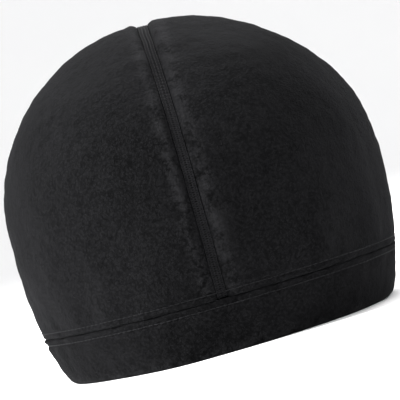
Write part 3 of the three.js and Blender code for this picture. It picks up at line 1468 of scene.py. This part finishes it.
        def laid(flat: np.ndarray) -> np.ndarray:
            """Lays the row round the cap at its level, over the seams' channels and the folds.

            Args:
                flat: the flat row's points.
            Returns:
                The places on the cap.
            """
            moved = self.stitching.wandered(flat, level)
            turn = (moved[:, 0] / self.length) % 1
            height = level + moved[:, 1]
            smooth = form.ring(turn, height, 0 * height)
            outer = form.joint_sunk(height) + self.drape.topstitch_valley(height)
            if row is Row.UPPER:
                x, y = form.ring_plan(turn, height, 0 * height)
                off_lip = np.minimum(np.abs(x), np.abs(y)) - form.gore_edge + form.overhang
                outer += form.seam_sink * form.lip(off_lip)
                inner = np.maximum(form.fleece_wall, outer + form.seam_wall)
                swell = self.drape.broad(smooth)
            else:
                inner = np.full_like(outer, self.wall)
                swell = self.rippled(smooth)
            depth = inner + moved[:, 2] if face is Face.INSIDE else outer - moved[:, 2]
            return form.ring(turn, height, depth - swell)

        return Modelling.dress(self.stitching.row(name, self.length), laid, finish)


@dataclass(frozen=True)
class Lamp:
    """A square soft light: where it hangs, the length of its sides, and its power in watts."""

    name: str
    place: tuple[float, float, float]
    size: float
    power: float


@dataclass
class Studio:
    """The plain pale floor, the soft lights and the camera at the photograph's viewing angle."""

    floor_radius: float = 4.5
    wall_radius: float = 8.0
    wall_height: float = 4.5
    floor_steps: int = 96
    wall_steps: int = 12
    camera_distance: float = 1.1
    camera_height: float = 75.4 * MILLIMETRE
    aim: tuple[float, float, float] = (1.9 * MILLIMETRE, 0.0, 70.85 * MILLIMETRE)
    roll: float = math.radians(15.8)
    view_width: float = 200.7 * MILLIMETRE
    sensor: float = 36.0
    world_strength: float = 1.06
    lamps: tuple[Lamp, ...] = (
        Lamp("key", place=(-1.3, -0.5, 1.0), size=0.5, power=90),
        Lamp("fill", place=(1.3, -0.7, 0.8), size=1.0, power=9),
        Lamp("top", place=(0.3, 0.6, 1.4), size=0.8, power=26),
    )

    def floor(self) -> bpy.types.Object:
        """A round floor whose far rim turns up gently, so that no edge of it shows.

        Returns:
            The floor.
        """
        bpy.ops.mesh.primitive_circle_add(
            vertices=self.floor_steps, radius=self.wall_radius, location=(0, 0, self.wall_height)
        )
        floor = bpy.context.object
        floor.name = "studio_floor"
        bpy.ops.object.transform_apply(location=True)
        reached, level = self.wall_radius, self.wall_height
        with Modelling.editing():
            for turn in np.linspace(RIGHT_ANGLE, 0, self.wall_steps)[1:].tolist():
                radius = self.floor_radius + (self.wall_radius - self.floor_radius) * math.sin(turn)
                height = self.wall_height * (1 - math.cos(turn))
                rise = {"value": (0, 0, height - level)}
                bpy.ops.mesh.extrude_region_move(TRANSFORM_OT_translate=rise)
                shrink = (radius / reached, radius / reached, 1)
                bpy.ops.transform.resize(value=shrink, center_override=(0, 0, height))
                reached, level = radius, height
            bpy.ops.mesh.edge_face_add()
        with Modelling.editing():
            bpy.ops.mesh.normals_make_consistent(inside=True)
        bpy.ops.object.shade_smooth()
        return floor

    @staticmethod
    def stand(data: bpy.types.ID, place: Vector, turned: Matrix) -> bpy.types.Object:
        """Puts a light or a camera in the scene.

        Args:
            data: the light or camera, whose name the object takes.
            place: where it stands.
            turned: the way that it is turned.
        Returns:
            The object.
        """
        stood = bpy.data.objects.new(data.name, data)
        bpy.context.scene.collection.objects.link(stood)
        stood.matrix_world = Matrix.Translation(place) @ turned.to_4x4()
        return stood

    def light(self, lamp: Lamp) -> None:
        """Hangs a lamp so that it faces the cap.

        Args:
            lamp: the lamp.
        """
        data = bpy.data.lights.new(lamp.name, "AREA")
        data.size = lamp.size
        data.energy = lamp.power
        place = Vector(lamp.place)
        self.stand(data, place, (Vector(self.aim) - place).to_track_quat("-Z", "Y").to_matrix())

    def camera(self) -> None:
        """The camera, level with the cap and rolled so that the cap's right side is higher."""
        aim = Vector(self.aim)
        rise = self.camera_height - aim.z
        place = aim + Vector((0, -math.sqrt(self.camera_distance**2 - rise**2), rise))
        forward = (aim - place).normalized()
        right = forward.cross(Vector((0, 0, 1))).normalized()
        up = right.cross(forward)
        rolled_right = right * math.cos(self.roll) - up * math.sin(self.roll)
        rolled_up = right * math.sin(self.roll) + up * math.cos(self.roll)
        data = bpy.data.cameras.new("camera")
        data.sensor_width = self.sensor
        data.lens = self.sensor * self.camera_distance / self.view_width
        turned = Matrix((rolled_right, rolled_up, -forward)).transposed()
        bpy.context.scene.camera = self.stand(data, place, turned)

    def build(self) -> None:
        """Sets up the floor, the world, the lights and the camera."""
        floor = self.floor()
        floor.data.materials.append(FloorFinish().material())
        world = bpy.data.worlds.new("studio")
        world.use_nodes = True
        sky = world.node_tree.nodes["Background"]
        sky.inputs["Color"].default_value = (1, 1, 1, 1)
        sky.inputs["Strength"].default_value = self.world_strength
        bpy.context.scene.world = world
        bpy.context.scene.view_settings.view_transform = "Standard"
        for lamp in self.lamps:
            self.light(lamp)
        self.camera()


def fasten(piece: bpy.types.Object, slot: str, *nodes: str) -> None:
    """Fixes a piece to the cap, hides the solids that it stands for and logs its faces.

    Args:
        piece: the finished piece.
        slot: the material slot that it takes its finish from; not used.
        nodes: the solids that it stands for.
    """
    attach(piece, "root")
    if nodes:
        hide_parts(*nodes)
    LOG.info("%s: %d faces", piece.name, len(piece.data.polygons))


def main() -> None:
    """Builds the cap and the studio round it."""
    logging.basicConfig(level=logging.INFO)
    Studio().build()
    form = CapForm.from_frame()
    drape = Drape(form)
    fleece = FleeceFinish("black_fleece").material()
    pressed = FleeceFinish("pressed_fleece", nap_depth=0.5 * MILLIMETRE, sheen=0.02).material()
    thread = ThreadFinish("black_thread").material()
    for facing in Facing:
        for side in Side:
            gore = Gore(form, drape, side, facing)
            fasten(gore.build(fleece), "fleece", gore.node)
    seams = [FlatSeam(form, drape, "crown_seam", SeamLine.over_crown(form))]
    for side in Side:
        node = f"side_seam_{side.name.lower()}"
        seams.append(FlatSeam(form, drape, node, SeamLine.up_side(form), side))
    for seam in seams:
        fasten(seam.strip(pressed), "fleece", seam.node)
        for face in Face:
            fasten(seam.threads(face, thread), "seam_thread")
    hem = HemBand(form, drape)
    fasten(hem.build(pressed), "hem_fleece", "hem_band")
    for row in Row:
        for face in Face:
            fasten(hem.topstitching(row, face, thread), "seam_thread")


if __name__ == "__main__":
    main()
